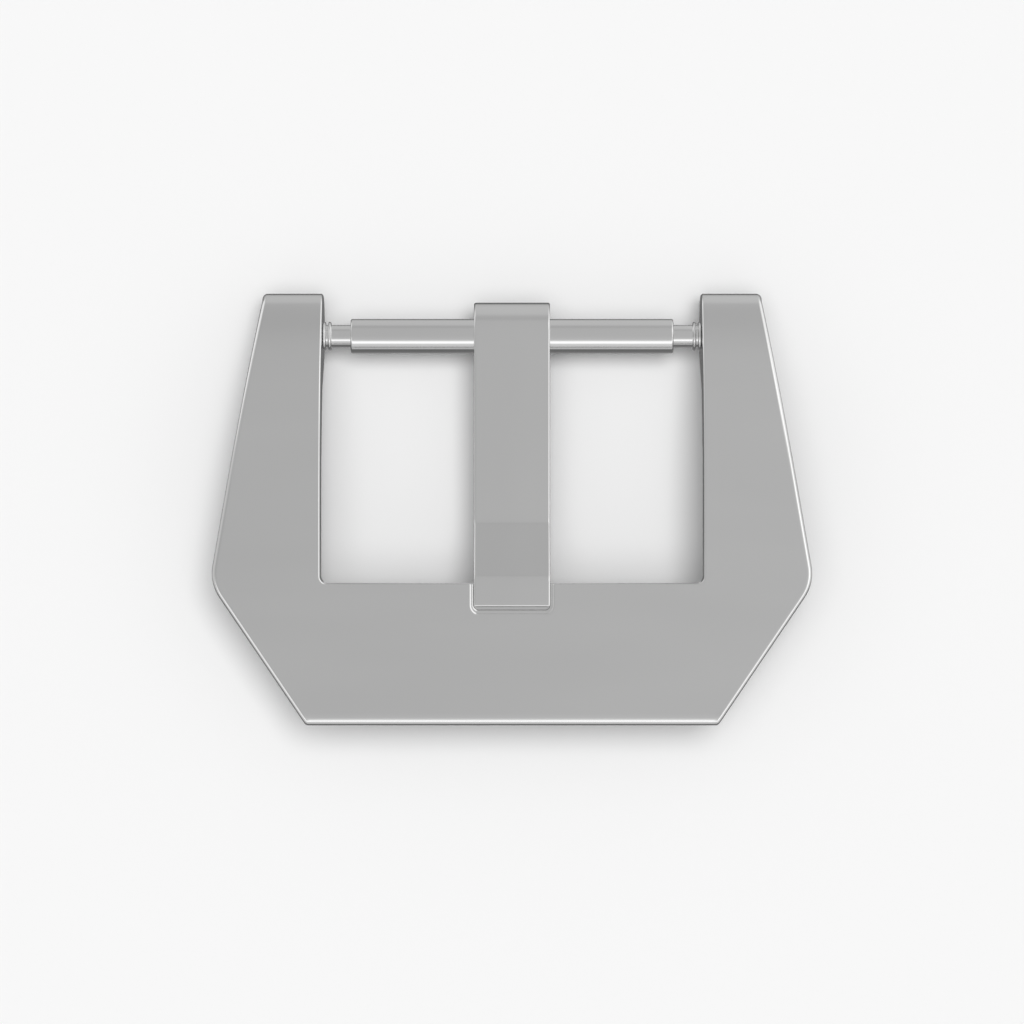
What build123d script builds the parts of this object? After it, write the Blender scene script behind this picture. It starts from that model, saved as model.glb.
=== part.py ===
from build123d import *
import math
import os

# A tang buckle for a 22 mm watch strap, in millimetres. The origin is the middle of the strap bar's axis.
# +X runs to the right along the bar, +Y towards the noses of the ears and +Z out of the top face.

# Frame, seen from above
lug_gap = 22.0  # between the inner faces of the ears, the strap's width
ear_nose_width = 3.4  # across one ear, at its nose
nose_reach = 2.48  # from the bar's axis to the nose of an ear
window_depth = 14.32  # from the bar's axis to the front edge of the window
front_bar_depth = 8.13  # across the front bar
widest_from_axis = 14.3  # from the bar's axis to the widest place
side_corner_from_window = 6.33  # from a side of the window to the widest place, before it is rounded
front_corner_from_window = 0.81  # from a side of the window to the end of the front edge
side_corner_radius = 2.5
nose_corner_radius = 0.55
nose_corner_past_nose = 0.05  # how far past the nose that rounding would end, seen from above
window_corner_radius = 0.42

# Frame, seen from the side
top_height = 4.24  # from the bar's axis up to the top face
foot_drop = 2.96  # from the bar's axis down to the feet
plate_thickness = 2.1  # of the front bar and the flat part of the arms
flat_end_from_axis = 9.5  # from the bar's axis to where the arms begin to curve down
nose_top_radius = 1.5
nose_below_axis = 0.29  # from the bar's axis down to where the nose's upper rounding ends
nose_straight = 0.77  # between the upper and the lower rounding of the nose
foot_front_from_axis = 1.03  # from the bar's axis to the front corner of a foot
foot_corner_radius = 0.5
boss_wall_angle = 59.0  # of the front wall of an ear's boss, from level
boss_root_radius = 1.3
arm_under_turn = 28.0  # how far the underside of an arm turns down before its boss
front_top_radius = 1.17  # the wide part of the rounding along the front edge
front_top_turn = 20.0
front_edge_radius = 0.37  # the tight part of that rounding
outer_edge_radius = 0.18
window_edge_radius = 0.14

# Tang: a strip rolled round the bar, which steps up to the top of the front bar
tang_width = 4.4
tang_thickness = 0.9
tang_tip_overlap = 1.28  # how far the tip lies over the front bar
tang_tip_below_top = 0.02  # from the frame's top face down to the top of the tip
tang_bend_from_window = 0.095  # from the upper bend, on the underside, to the window's front edge
tang_step_run = 3.38  # between the two bends, seen from above
tang_low_bend_radius = 0.93  # the inside of the bend, on the top of the strip
tang_high_bend_radius = 0.1  # the inside of the bend, on the underside of the strip
tang_edge_radius = 0.11
tang_bore_clearance = 0.05  # round the bar
tang_seam = 0.1  # between the rolled end and the underside of the strip

# Recess for the tip in the front bar
recess_side_clearance = 0.06
recess_end_clearance = 0.25
recess_floor_clearance = 0.03
recess_corner_radius = 0.3
recess_edge_bevel = 0.15

# Spring bar: a tube with crimped ends, two flanged pins and the spring between them
bar_diameter = 2.0
tube_from_ear = 1.635  # from each end of the tube to the ear
bar_wall = 0.2
bar_edge_radius = 0.1
lip_length = 0.35  # of the crimped end
pin_head_clearance = 0.03  # to the inside of the tube
pin_head_length = 0.6
pin_head_step = 0.12  # how far the head stands out from the shank
pin_head_gap = 0.02  # from the head to the crimped end
pin_shank_clearance = 0.04  # to the crimped end
flange_step = 0.185  # how far a flange stands out from the shank
flange_width = 0.17
flange_rounding_share = 0.45  # the rounding of a flange's rim, of its width
flange_spacing = 0.14  # between the two flanges of a pin
flange_from_ear = 0.02  # from the outer flange to the ear
nib_diameter = 1.1
nib_length = 0.9  # the part of the pin that stands in the ear
nib_edge_radius = 0.15
ear_hole_clearance = 0.05  # round the nib
ear_hole_spare_depth = 0.3  # past the end of the nib
spring_wire_diameter = 0.2
spring_clearance = 0.1  # from the coil to the inside of the tube
spring_end_gap = 0.03  # from the coil to each pin's head
spring_turns = 24
spring_gap_steps = 6  # points along each arc of the coil where its gap is measured

cut_overrun = 1.0  # how far every cut runs past the solid
tolerance = 1e-6  # lengths closer than this count as equal
quarter_turn = 90.0

# Sizes that follow from those above
half_gap = lug_gap / 2
side_corner = half_gap + side_corner_from_window
front_from_axis = window_depth + front_bar_depth
under_height = top_height - plate_thickness
bar_radius = bar_diameter / 2
tube_bore_radius = bar_radius - bar_wall
pin_head_radius = tube_bore_radius - pin_head_clearance
shank_radius = pin_head_radius - pin_head_step
lip_radius = shank_radius + pin_shank_clearance
nib_radius = nib_diameter / 2
loop_bore_radius = bar_radius + tang_bore_clearance
loop_outer_radius = loop_bore_radius + tang_thickness
tang_tip_height = top_height - tang_tip_below_top
recess_half_width = tang_width / 2 + recess_side_clearance
tang_tip_from_axis = window_depth + tang_tip_overlap
recess_end_from_axis = tang_tip_from_axis + recess_end_clearance
recess_floor_height = tang_tip_height - tang_thickness - recess_floor_clearance
half_bar = half_gap - tube_from_ear
pin_head_outer = half_bar - lip_length - pin_head_gap
pin_head_inner = pin_head_outer - pin_head_length
nib_end = half_gap + nib_length
spring_wire_radius = spring_wire_diameter / 2
spring_radius = tube_bore_radius - spring_clearance - spring_wire_radius
spring_end = pin_head_inner - spring_end_gap - spring_wire_radius


def tangent_length(radius, turn):
    # the distance from a corner to where its rounding begins, for a turn in degrees
    return radius * math.tan(math.radians(turn) / 2)


def rounded_edges(corners, closed):
    # lines and tangent arcs through a list of corners, each (across, up, radius)
    count = len(corners)
    points = [Vector(across, up) for across, up, radius in corners]
    entries = list(points)
    exits = list(points)
    arcs = {}
    for place in range(count):
        radius = corners[place][2]
        if radius == 0:
            continue
        before = (points[place - 1] - points[place]).normalized()
        after = (points[(place + 1) % count] - points[place]).normalized()
        inside = math.radians(before.get_angle(after))
        reach = radius / math.tan(inside / 2)
        entries[place] = points[place] + before * reach
        exits[place] = points[place] + after * reach
        halfway = (before + after).normalized()
        middle = points[place] + halfway * (radius / math.sin(inside / 2) - radius)
        arcs[place] = ThreePointArc(entries[place], middle, exits[place])
    edges = []
    for place in range(count):
        if place in arcs:
            edges.append(arcs[place])
        if place + 1 == count and not closed:
            break
        following = (place + 1) % count
        if (entries[following] - exits[place]).length > tolerance:
            edges.append(Line(exits[place], entries[following]))
    return edges


def frame_plan():
    # the U of the frame from above; the ears' noses are cut by the side profile, just inside this outline
    nose_line = nose_reach + nose_corner_past_nose
    right = [
        (half_gap + ear_nose_width, nose_line, nose_corner_radius),
        (side_corner, -widest_from_axis, side_corner_radius),
        (half_gap + front_corner_from_window, -front_from_axis, 0),
    ]
    window = [
        (-half_gap, nose_line, 0),
        (-half_gap, -window_depth, window_corner_radius),
        (half_gap, -window_depth, window_corner_radius),
        (half_gap, nose_line, 0),
    ]
    left = [(-across, up, radius) for across, up, radius in reversed(right)]
    return Face(Wire(rounded_edges(right + left + window, closed=True)))


def frame_profile():
    # the frame from the side, with Y across and Z up
    # the arm's top is an arc that leaves the flat top and runs smoothly into the upper rounding of the nose
    across = flat_end_from_axis + nose_reach - nose_top_radius
    down = top_height + nose_below_axis
    arm_top_radius = (across**2 + down**2 - nose_top_radius**2) / (2 * (down - nose_top_radius))
    nose_turn = math.degrees(math.asin(across / (arm_top_radius - nose_top_radius)))
    arm_top_y = -flat_end_from_axis + tangent_length(arm_top_radius, nose_turn)
    nose_z = top_height - (nose_reach - arm_top_y) * math.tan(math.radians(nose_turn))
    nose_low_radius = foot_drop - nose_below_axis - nose_straight

    # the underside of the arm turns down by one large arc and then by the root of the boss's wall
    wall = math.radians(boss_wall_angle)
    under = math.radians(arm_under_turn)
    root = tangent_length(boss_root_radius, boss_wall_angle - arm_under_turn)
    wall_y = -foot_front_from_axis - (under_height + foot_drop) / math.tan(wall)
    share_across = math.cos(under) - math.sin(under) / math.tan(wall)
    arc_reach = (wall_y + flat_end_from_axis - root * share_across) / (1 + share_across)
    arm_under_radius = arc_reach / math.tan(under / 2)
    under_y = -flat_end_from_axis + arc_reach
    root_y = under_y + (arc_reach + root) * math.cos(under)
    root_z = under_height - (arc_reach + root) * math.sin(under)

    # the rounding of the front edge is a wide arc and then a tight one
    bevel = tangent_length(front_top_radius, front_top_turn)
    bevel += tangent_length(front_edge_radius, quarter_turn - front_top_turn)
    bevel_y = -front_from_axis + bevel * math.cos(math.radians(front_top_turn))
    bevel_z = top_height - bevel * math.sin(math.radians(front_top_turn))

    corners = [
        (bevel_y, top_height, front_top_radius),
        (arm_top_y, top_height, arm_top_radius),
        (nose_reach, nose_z, nose_top_radius),
        (nose_reach, -foot_drop, nose_low_radius),
        (-foot_front_from_axis, -foot_drop, foot_corner_radius),
        (root_y, root_z, boss_root_radius),
        (under_y, under_height, arm_under_radius),
        (-front_from_axis, under_height, 0),
        (-front_from_axis, bevel_z, front_edge_radius),
    ]
    return Face(Wire(rounded_edges(corners, closed=True)))


def rim_edges(walls):
    # the edges round a set of wall faces, without those between two of them
    rim = []
    for edge in [edge for wall in walls for edge in wall.edges()]:
        if sum(edge.is_same(other) for wall in walls for other in wall.edges()) == 1:
            rim.append(edge)
    return rim


def upright_walls(solid):
    # the faces that stand upright on the outline seen from above: those of the window, then the outer ones
    window_walls = []
    outer_walls = []
    for face in solid.faces():
        middle = face.center()
        facing = face.normal_at(middle)
        on_profile = abs(facing.X) < tolerance and not -window_depth - tolerance < middle.Y < 0
        if abs(facing.Z) > tolerance or on_profile:
            continue
        if abs(middle.X) < half_gap + tolerance and middle.Y > -window_depth - tolerance:
            window_walls.append(face)
        else:
            outer_walls.append(face)
    return window_walls, outer_walls


def recess_cutter():
    # room for the tip of the tang, with a bevel round its upper edge
    def outline(growth, height):
        half_width = recess_half_width + growth
        end = -recess_end_from_axis - growth
        corners = [
            (-half_width, end, recess_corner_radius + growth),
            (half_width, end, recess_corner_radius + growth),
            (half_width, -window_depth + cut_overrun, 0),
            (-half_width, -window_depth + cut_overrun, 0),
        ]
        return Pos(0, 0, height) * Face(Wire(rounded_edges(corners, closed=True)))

    depth = top_height - recess_floor_height
    pocket = extrude(outline(0, recess_floor_height), amount=depth + cut_overrun)
    bevel_foot = outline(0, top_height - recess_edge_bevel)
    bevel_rim = outline(recess_edge_bevel + cut_overrun, top_height + cut_overrun)
    return pocket + loft([bevel_foot, bevel_rim], ruled=True)


def ear_hole_cutter():
    # the two blind holes that hold the nibs of the pins
    deep_end = nib_end + ear_hole_spare_depth
    hole = Cylinder(nib_radius + ear_hole_clearance, deep_end - half_gap + cut_overrun)
    middle = (deep_end + half_gap - cut_overrun) / 2
    right = Pos(middle, 0, 0) * Rot(0, quarter_turn, 0) * hole
    return right + mirror(right, about=Plane.YZ)


def buckle_frame():
    full_height = top_height + foot_drop
    block = extrude(frame_plan(), amount=full_height, both=True)
    side = extrude(Plane.YZ * frame_profile(), amount=side_corner + cut_overrun, both=True)
    solid = block & side
    solid = fillet(rim_edges(upright_walls(solid)[0]), window_edge_radius)
    solid = fillet(rim_edges(upright_walls(solid)[1]), outer_edge_radius)
    return solid - recess_cutter() - ear_hole_cutter()


def tang():
    # the strip from the side, with Y across and Z up; its top bends nearer the bar than its underside
    rise = tang_tip_height - loop_outer_radius
    bend_shift = tangent_length(tang_thickness, math.degrees(math.atan2(rise, tang_step_run)))
    high_bend = -window_depth + tang_bend_from_window
    low_bend = high_bend + tang_step_run
    tip_underside = tang_tip_height - tang_thickness
    top = [
        (-tang_tip_from_axis, tang_tip_height, 0),
        (high_bend + bend_shift, tang_tip_height, tang_high_bend_radius + tang_thickness),
        (low_bend + bend_shift, loop_outer_radius, tang_low_bend_radius),
        (0, loop_outer_radius, 0),
    ]
    underside = [
        (0, loop_bore_radius, 0),
        (low_bend, loop_bore_radius, tang_low_bend_radius + tang_thickness),
        (high_bend, tip_underside, tang_high_bend_radius),
        (-tang_tip_from_axis, tip_underside, 0),
    ]

    # the strip rolls over the bar, down on the nose side and up again, and its end stops just under itself
    start_angle = 90
    end_angle = -180 - math.degrees(math.asin((loop_bore_radius - tang_seam) / loop_outer_radius))
    stops = [start_angle, (start_angle + end_angle) / 2, end_angle]
    outer = [Vector(loop_outer_radius, 0).rotate(Axis.Z, angle) for angle in stops]
    bore = [Vector(loop_bore_radius, 0).rotate(Axis.Z, angle) for angle in reversed(stops)]
    edges = rounded_edges(top, closed=False)
    edges.append(ThreePointArc(*outer))
    edges.append(Line(outer[-1], bore[0]))
    edges.append(ThreePointArc(*bore))
    edges += rounded_edges(underside, closed=False)
    edges.append(Line((-tang_tip_from_axis, tip_underside), (-tang_tip_from_axis, tang_tip_height)))
    solid = extrude(Plane.YZ * Face(Wire(edges)), amount=tang_width / 2, both=True)
    side_faces = solid.faces().filter_by(Axis.X)
    tip_face = solid.faces().sort_by(Axis.Y)[0]
    return fillet(rim_edges(side_faces) + tip_face.edges().filter_by(Axis.X), tang_edge_radius)


def bar_tube():
    bore_end = half_bar - lip_length
    right = [
        (bore_end, tube_bore_radius, 0),
        (bore_end, lip_radius, 0),
        (half_bar, lip_radius, 0),
        (half_bar, bar_radius, bar_edge_radius),
    ]
    left = [(-along, out, radius) for along, out, radius in reversed(right)]
    return revolve(Face(Wire(rounded_edges(right + left, closed=True))), Axis.X)


def right_pin():
    flange_radius = shank_radius + flange_step
    flange_rounding = flange_width * flange_rounding_share
    outer_flange = half_gap - flange_from_ear
    inner_flange = outer_flange - flange_width - flange_spacing
    corners = [
        (pin_head_inner, 0, 0),
        (pin_head_inner, pin_head_radius, 0),
        (pin_head_outer, pin_head_radius, 0),
        (pin_head_outer, shank_radius, 0),
        (inner_flange - flange_width, shank_radius, 0),
        (inner_flange - flange_width, flange_radius, flange_rounding),
        (inner_flange, flange_radius, flange_rounding),
        (inner_flange, shank_radius, 0),
        (outer_flange - flange_width, shank_radius, 0),
        (outer_flange - flange_width, flange_radius, flange_rounding),
        (outer_flange, flange_radius, flange_rounding),
        (outer_flange, nib_radius, 0),
        (nib_end, nib_radius, nib_edge_radius),
        (nib_end, 0, 0),
    ]
    return revolve(Face(Wire(rounded_edges(corners, closed=True))), Axis.X)


def spring_points_and_tangents():
    # every half turn of the coil, which runs along X
    pitch = 2 * spring_end / spring_turns
    stops = []
    for half_turn in range(2 * spring_turns + 1):
        side = 1 if half_turn % 2 == 0 else -1
        point = Vector(-spring_end + pitch * half_turn / 2, spring_radius * side, 0)
        tangent = Vector(pitch, 0, 2 * math.pi * spring_radius * side).normalized()
        stops.append((point, tangent))
    return stops


def tangent_arc_pair(start, start_tangent, end, end_tangent):
    # two arcs that share a tangent where they meet, each as long a tangent leg as the other
    span = end - start
    both = span.dot(start_tangent + end_tangent)
    spread = 2 * (1 - start_tangent.dot(end_tangent))
    leg = (math.sqrt(both**2 + spread * span.dot(span)) - both) / spread
    first_knee = start + start_tangent * leg
    second_knee = end - end_tangent * leg
    joint = (first_knee + second_knee) / 2
    return [
        TangentArc(start, joint, tangent=start_tangent),
        TangentArc(joint, end, tangent=second_knee - first_knee),
    ]


def bar_spring():
    stops = spring_points_and_tangents()
    arcs = []
    for (start, start_tangent), (end, end_tangent) in zip(stops, stops[1:]):
        arcs += tangent_arc_pair(start, start_tangent, end, end_tangent)
    print_coil_gap(arcs)
    path = Wire(arcs)
    section = Plane(origin=stops[0][0], z_dir=stops[0][1]) * Circle(spring_wire_radius)
    return sweep(section, path=path)


def print_coil_gap(arcs):
    # the least gap between the wire and itself, from points on stretches at least half a turn apart
    points = [arc @ (step / spring_gap_steps) for arc in arcs for step in range(spring_gap_steps)]
    half_turn = 2 * spring_gap_steps
    least = min(
        (points[first] - points[second]).length
        for first in range(len(points))
        for second in range(first + half_turn, min(len(points), first + 3 * half_turn))
    )
    print("least gap of the coil to itself, mm:", round(least - spring_wire_diameter, 3))


def main():
    os.makedirs("parts", exist_ok=True)
    pin = right_pin()
    pieces = {
        "buckle_frame": buckle_frame(),
        "tang": tang(),
        "bar_tube": bar_tube(),
        "left_pin": mirror(pin, about=Plane.YZ),
        "right_pin": pin,
        "bar_spring": bar_spring(),
    }
    for name, piece in pieces.items():
        export_step(piece, f"parts/{name}.step")
        print(name, round(piece.volume, 3), "mm3")


main()
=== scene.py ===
import bmesh
import bpy
import numpy as np
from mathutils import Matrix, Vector


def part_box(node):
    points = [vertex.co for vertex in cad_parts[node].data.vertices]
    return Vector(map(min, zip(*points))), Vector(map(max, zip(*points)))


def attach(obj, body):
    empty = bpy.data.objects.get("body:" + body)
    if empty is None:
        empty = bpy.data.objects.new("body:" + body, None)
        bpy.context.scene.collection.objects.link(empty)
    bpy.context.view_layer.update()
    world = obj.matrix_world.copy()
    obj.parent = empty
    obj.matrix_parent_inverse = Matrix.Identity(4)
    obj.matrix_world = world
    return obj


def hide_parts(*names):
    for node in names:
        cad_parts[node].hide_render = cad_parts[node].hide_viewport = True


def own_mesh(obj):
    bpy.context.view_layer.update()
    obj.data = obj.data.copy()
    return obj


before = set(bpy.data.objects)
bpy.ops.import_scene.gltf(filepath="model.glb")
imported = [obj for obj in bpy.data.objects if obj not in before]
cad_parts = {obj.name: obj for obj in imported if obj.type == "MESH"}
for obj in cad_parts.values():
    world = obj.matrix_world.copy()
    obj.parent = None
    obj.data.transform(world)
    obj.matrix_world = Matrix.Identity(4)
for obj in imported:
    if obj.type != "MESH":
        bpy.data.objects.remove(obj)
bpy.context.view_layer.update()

# a tang buckle for a watch strap, seen from straight above; everything below is worked out in mm
mm = 0.001
mergeWithin = 0.0002  # points closer than this are one


# shared shape tools

def nodeBox(node):
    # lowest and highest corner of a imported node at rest, in mm
    low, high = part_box(node)
    return np.array(low) / mm, np.array(high) / mm


def roundedPath(corners, steps, closed=False):
    # a line through corners (a, b, radius), each rounded by an arc that touches both its sides:
    # arc point = centre + radius * (sin, -cos) of the heading, which turns evenly from side to side
    # gives the points and the heading at each, in radians
    table = np.array(corners, float)
    spots = table[:, :2]
    radius = table[:, 2:3]
    into = spots - np.roll(spots, 1, axis=0)
    out = np.roll(spots, -1, axis=0) - spots
    if not closed:
        into[0] = out[0]
        out[-1] = into[-1]
    headIn = np.arctan2(into[:, 1], into[:, 0])
    headOut = np.arctan2(out[:, 1], out[:, 0])
    turn = (headOut - headIn + np.pi) % (2 * np.pi) - np.pi
    side = np.sign(turn)[:, None]
    reach = radius * np.tan(np.abs(turn)[:, None] / 2)
    touch = spots - reach * np.stack([np.cos(headIn), np.sin(headIn)], axis=1)
    centre = touch + radius * side * np.stack([-np.sin(headIn), np.cos(headIn)], axis=1)
    heading = headIn[:, None] + turn[:, None] * np.linspace(0, 1, steps + 1)
    swing = np.stack([np.sin(heading), -np.cos(heading)], axis=2)
    points = centre[:, None] + (radius * side)[:, None] * swing
    return points.reshape(-1, 2), np.unwrap(heading.reshape(-1))


def readAlong(wanted, points, heading):
    # second number and heading of a path at the wanted first numbers, in which it goes only one way
    order = np.argsort(points[:, 0], kind="stable")
    first = points[order, 0]
    return np.interp(wanted, first, points[order, 1]), np.interp(wanted, first, heading[order])


def withSupports(points, heading, gap, closed):
    # two more points on each straight stretch that is longer than four gaps, a gap from its ends,
    # so that the flats shade flat
    following = np.roll(points, -1, axis=0)
    step = following - points
    length = np.linalg.norm(step, axis=1)
    long = length > 4 * gap
    if not closed:
        long[-1] = False
    where = np.nonzero(long)[0]
    unit = step[where] / length[where, None]
    places = np.repeat(where + 1, 2)
    extra = np.stack([points[where] + gap * unit, following[where] - gap * unit], axis=1).reshape(-1, 2)
    turned = np.arctan2(unit[:, 1], unit[:, 0])
    turned += 2 * np.pi * np.round((heading[where] - turned) / (2 * np.pi))
    return np.insert(points, places, extra, axis=0), np.insert(heading, places, np.repeat(turned, 2))


def mixRows(start, end, shares):
    # straight lines between matching points: start + share * (end - start)
    return start[..., None, :] + (end - start)[..., None, :] * np.asarray(shares)[:, None]


def rimRows(edge, faceNormal, wallNormal, radius, steps):
    # rounding of the edge between two faces: centre = edge - radius * (n1 + n2) / (1 + n1 . n2),
    # point = centre + radius * normal, with the normal turned evenly from the face's to the wall's
    cosine = np.sum(faceNormal * wallNormal, axis=-1, keepdims=True)
    centre = edge - radius * (faceNormal + wallNormal) / (1 + cosine)
    turn = np.arccos(np.clip(cosine, -1, 1))[..., None]
    share = np.linspace(0, 1, steps + 1)[:, None]
    blend = np.sin((1 - share) * turn) * faceNormal[..., None, :]
    blend += np.sin(share * turn) * wallNormal[..., None, :]
    return centre[..., None, :] + radius * blend / np.sin(turn)


def gridFaces(rows, columns, start):
    # four-cornered faces of a grid whose points are numbered row by row
    corner = start + (np.arange(rows - 1)[:, None] * columns + np.arange(columns - 1)).reshape(-1)
    return np.stack([corner, corner + 1, corner + columns + 1, corner + columns], axis=1)


def makePiece(name, grids, material, sharpAngle=30):
    # one closed mesh from grids that share their borders, in mm, merged, turned outwards and shaded smooth
    points = np.concatenate([grid.reshape(-1, 3) for grid in grids]) * mm
    starts = np.cumsum([0] + [grid.shape[0] * grid.shape[1] for grid in grids[:-1]])
    faces = np.concatenate([gridFaces(g.shape[0], g.shape[1], s) for g, s in zip(grids, starts)])
    mesh = bpy.data.meshes.new(name)
    mesh.from_pydata(points, [], faces)
    work = bmesh.new()
    work.from_mesh(mesh)
    bmesh.ops.remove_doubles(work, verts=work.verts, dist=mergeWithin * mm)
    bmesh.ops.recalc_face_normals(work, faces=work.faces)
    openEdges = sum(1 for edge in work.edges if not edge.is_manifold)
    work.to_mesh(mesh)
    work.free()
    mesh.shade_smooth()
    mesh.set_sharp_from_angle(angle=np.radians(sharpAngle))
    piece = bpy.data.objects.new(name, mesh)
    bpy.context.scene.collection.objects.link(piece)
    piece.data.materials.append(material)
    print(name, "faces", len(mesh.polygons), "open edges", openEdges)
    return piece


def mapped(nodes, links, value, fromRange, toRange=(0, 1)):
    # a shader value carried from one range to another
    node = nodes.new("ShaderNodeMapRange")
    for name, setting in zip(("From Min", "From Max", "To Min", "To Max"), (*fromRange, *toRange)):
        node.inputs[name].default_value = setting
    links.new(value, node.inputs["Value"])
    return node


# steel finishes

steelLook = {
    "frameSteel": {"colour": 0.72, "roughness": 0.16, "spread": 0.02, "grainAlong": "x", "grainDepth": 0.02},
    "tangSteel": {"colour": 0.72, "roughness": 0.16, "spread": 0.02, "grainAlong": "y", "grainDepth": 0.02},
    "barSteel": {"colour": 0.72, "roughness": 0.13, "spread": 0.02, "grainAlong": "x", "grainDepth": 0.02},
    "pinSteel": {"colour": 0.72, "roughness": 0.15, "spread": 0.02, "grainAlong": "x", "grainDepth": 0.02},
    "springSteel": {"colour": 0.60, "roughness": 0.25, "spread": 0.05, "grainAlong": "x", "grainDepth": 0.02},
    "cloudsPerMm": 0.28,  # slow changes in the satin, across the grain
    "cloudStretch": 4.0,
    "cloudDetail": 2,
    "darkest": (0.97, 0.97, 0.968),  # times the colour
    "lightest": (1.03, 1.03, 1.027),
    "linesPerMm": 14.0,  # grain, across its own direction
    "lineStretch": 18.0,
    "lineDetail": 4,
    "lineHeight": 0.01,
}


def steelMaterial(name):
    # satin steel: soft clouds in the roughness and a hair-fine grain in the bump, on object coordinates
    look = steelLook[name]
    material = bpy.data.materials.new(name)
    material.use_nodes = True
    nodes = material.node_tree.nodes
    links = material.node_tree.links
    shader = nodes["Principled BSDF"]
    shader.inputs["Metallic"].default_value = 1.0
    where = nodes.new("ShaderNodeTexCoord")

    def stretched(times):
        # object coordinates drawn out along the grain
        along = nodes.new("ShaderNodeMapping")
        short = 1 / times
        along.inputs["Scale"].default_value = (short, 1, 1) if look["grainAlong"] == "x" else (1, short, 1)
        links.new(where.outputs["Object"], along.inputs["Vector"])
        return along.outputs["Vector"]

    clouds = nodes.new("ShaderNodeTexNoise")
    clouds.inputs["Scale"].default_value = steelLook["cloudsPerMm"] / mm
    clouds.inputs["Detail"].default_value = steelLook["cloudDetail"]
    links.new(stretched(steelLook["cloudStretch"]), clouds.inputs["Vector"])
    roughness = (look["roughness"] - look["spread"], look["roughness"] + look["spread"])
    satin = mapped(nodes, links, clouds.outputs["Fac"], (0, 1), roughness)
    links.new(satin.outputs["Result"], shader.inputs["Roughness"])

    tone = nodes.new("ShaderNodeValToRGB")
    for element, shares in zip(tone.color_ramp.elements, (steelLook["darkest"], steelLook["lightest"])):
        element.color = (*[look["colour"] * share for share in shares], 1)
    links.new(clouds.outputs["Fac"], tone.inputs["Fac"])
    links.new(tone.outputs["Color"], shader.inputs["Base Color"])

    grain = nodes.new("ShaderNodeTexNoise")
    grain.inputs["Scale"].default_value = steelLook["linesPerMm"] / mm
    grain.inputs["Detail"].default_value = steelLook["lineDetail"]
    links.new(stretched(steelLook["lineStretch"]), grain.inputs["Vector"])
    bump = nodes.new("ShaderNodeBump")
    bump.inputs["Strength"].default_value = look["grainDepth"]
    bump.inputs["Distance"].default_value = steelLook["lineHeight"] * mm
    links.new(grain.outputs["Fac"], bump.inputs["Height"])
    links.new(bump.outputs["Normal"], shader.inputs["Normal"])
    return material


# frame: two curved arms and a front bar in one piece, with a recess for the tang's tip

buckle = {
    "lugGap": 22.0,  # between the ears
    "noseWidth": 3.4,
    "noseCornerRadius": 0.37,
    "noseCornerPastNose": 0.05,
    "windowDepth": 14.32,
    "widestFromAxis": 14.3,
    "sideCornerFromWindow": 6.33,
    "frontCornerFromWindow": 0.81,
    "sideCornerRadius": 2.5,
    "windowCornerRadius": 0.42,
    "plateThickness": 2.1,
    "flatEnd": 9.5,  # where the arms begin to curve down
    "noseTopRadius": 1.5,
    "noseBelowAxis": 0.29,
    "noseStraight": 0.77,
    "footFront": 1.03,
    "footCornerRadius": 0.5,
    "bossWallAngle": 59.0,
    "bossRootRadius": 1.3,
    "armUnderTurn": 28.0,
    "frontTopRadius": 1.17,
    "frontTopTurn": 20.0,
    "frontEdgeRadius": 0.385,
    "frontLowRadius": 0.25,
    "outerRim": 0.26,
    "windowRim": 0.10,
    "recessHalfWidth": 2.208,
    "recessEnd": 15.85,
    "recessFloorDrop": 0.95,
    "recessCorner": 0.3,
    "recessShelf": 0.14,  # a narrow step round its mouth
    "recessShelfDrop": 0.1,
    "recessShelfStretch": 1.35,  # it is wider at the recess's end
    "recessEdge": 0.04,  # bevel of the step's two edges
    "recessEdgeRadius": 0.13,  # rounding on the upper side of that bevel
    "recessRoot": 0.02,  # rounding at the foot of its walls
    "recessSteps": 4,
    "earHoleRadius": 0.6,
    "earHoleDepth": 1.2,
    "rimSteps": 8,
    # rows and columns of the grids
    "arcSteps": 60,
    "arcStride": 6,  # each sixth point of an outline's arcs has a row
    "rowSpacing": 0.3,
    "rowPitch": 0.05,  # rows that nothing fixes stand at whole multiples of this
    "rowGap": 0.03,  # and further than this from the fixed ones
    "uprightFrom": 1.2,  # beyond this the top turns down to the nose
    "barColumns": 12,
    "cornerColumns": 5,
    "recessEndRows": 7,
    "seamFromWindow": 0.4,  # the inner and the outer grids meet there
    "recessBorderSide": 0.54,  # from the recess's wall to its grid's border
    "recessBorderEnd": 0.55,
    "earFaceFromAxis": 1.6,
    # shares of the way at which the grids have points
    "armShares": (0, 0.25, 0.5, 0.75, 0.93, 0.985, 1),
    "seamShares": (0, 0.8, 1),
    "lowWallLevels": (0.62, 0.81, 1),
    "earShares": (0, 0.3, 0.6, 0.85, 0.97, 1),
    "holeWallShares": (0, 0.05, 0.5, 0.95, 1),
    "holeEndShares": (0, 0.1, 0.5, 1),
    "recessBorderShares": (0, 0.5, 0.85),
    "recessFloorShares": (0, 0.3, 0.6, 0.95, 1),
}

frameLow, frameHigh = nodeBox("buckle_frame")
frameFront = frameLow[1]
frameNose = frameHigh[1]
frameFoot = frameLow[2]
frameTop = frameHigh[2]
frameUnder = frameTop - buckle["plateThickness"]
recessFloorZ = frameTop - buckle["recessFloorDrop"]
recessShelfZ = frameTop - buckle["recessShelfDrop"]

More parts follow.
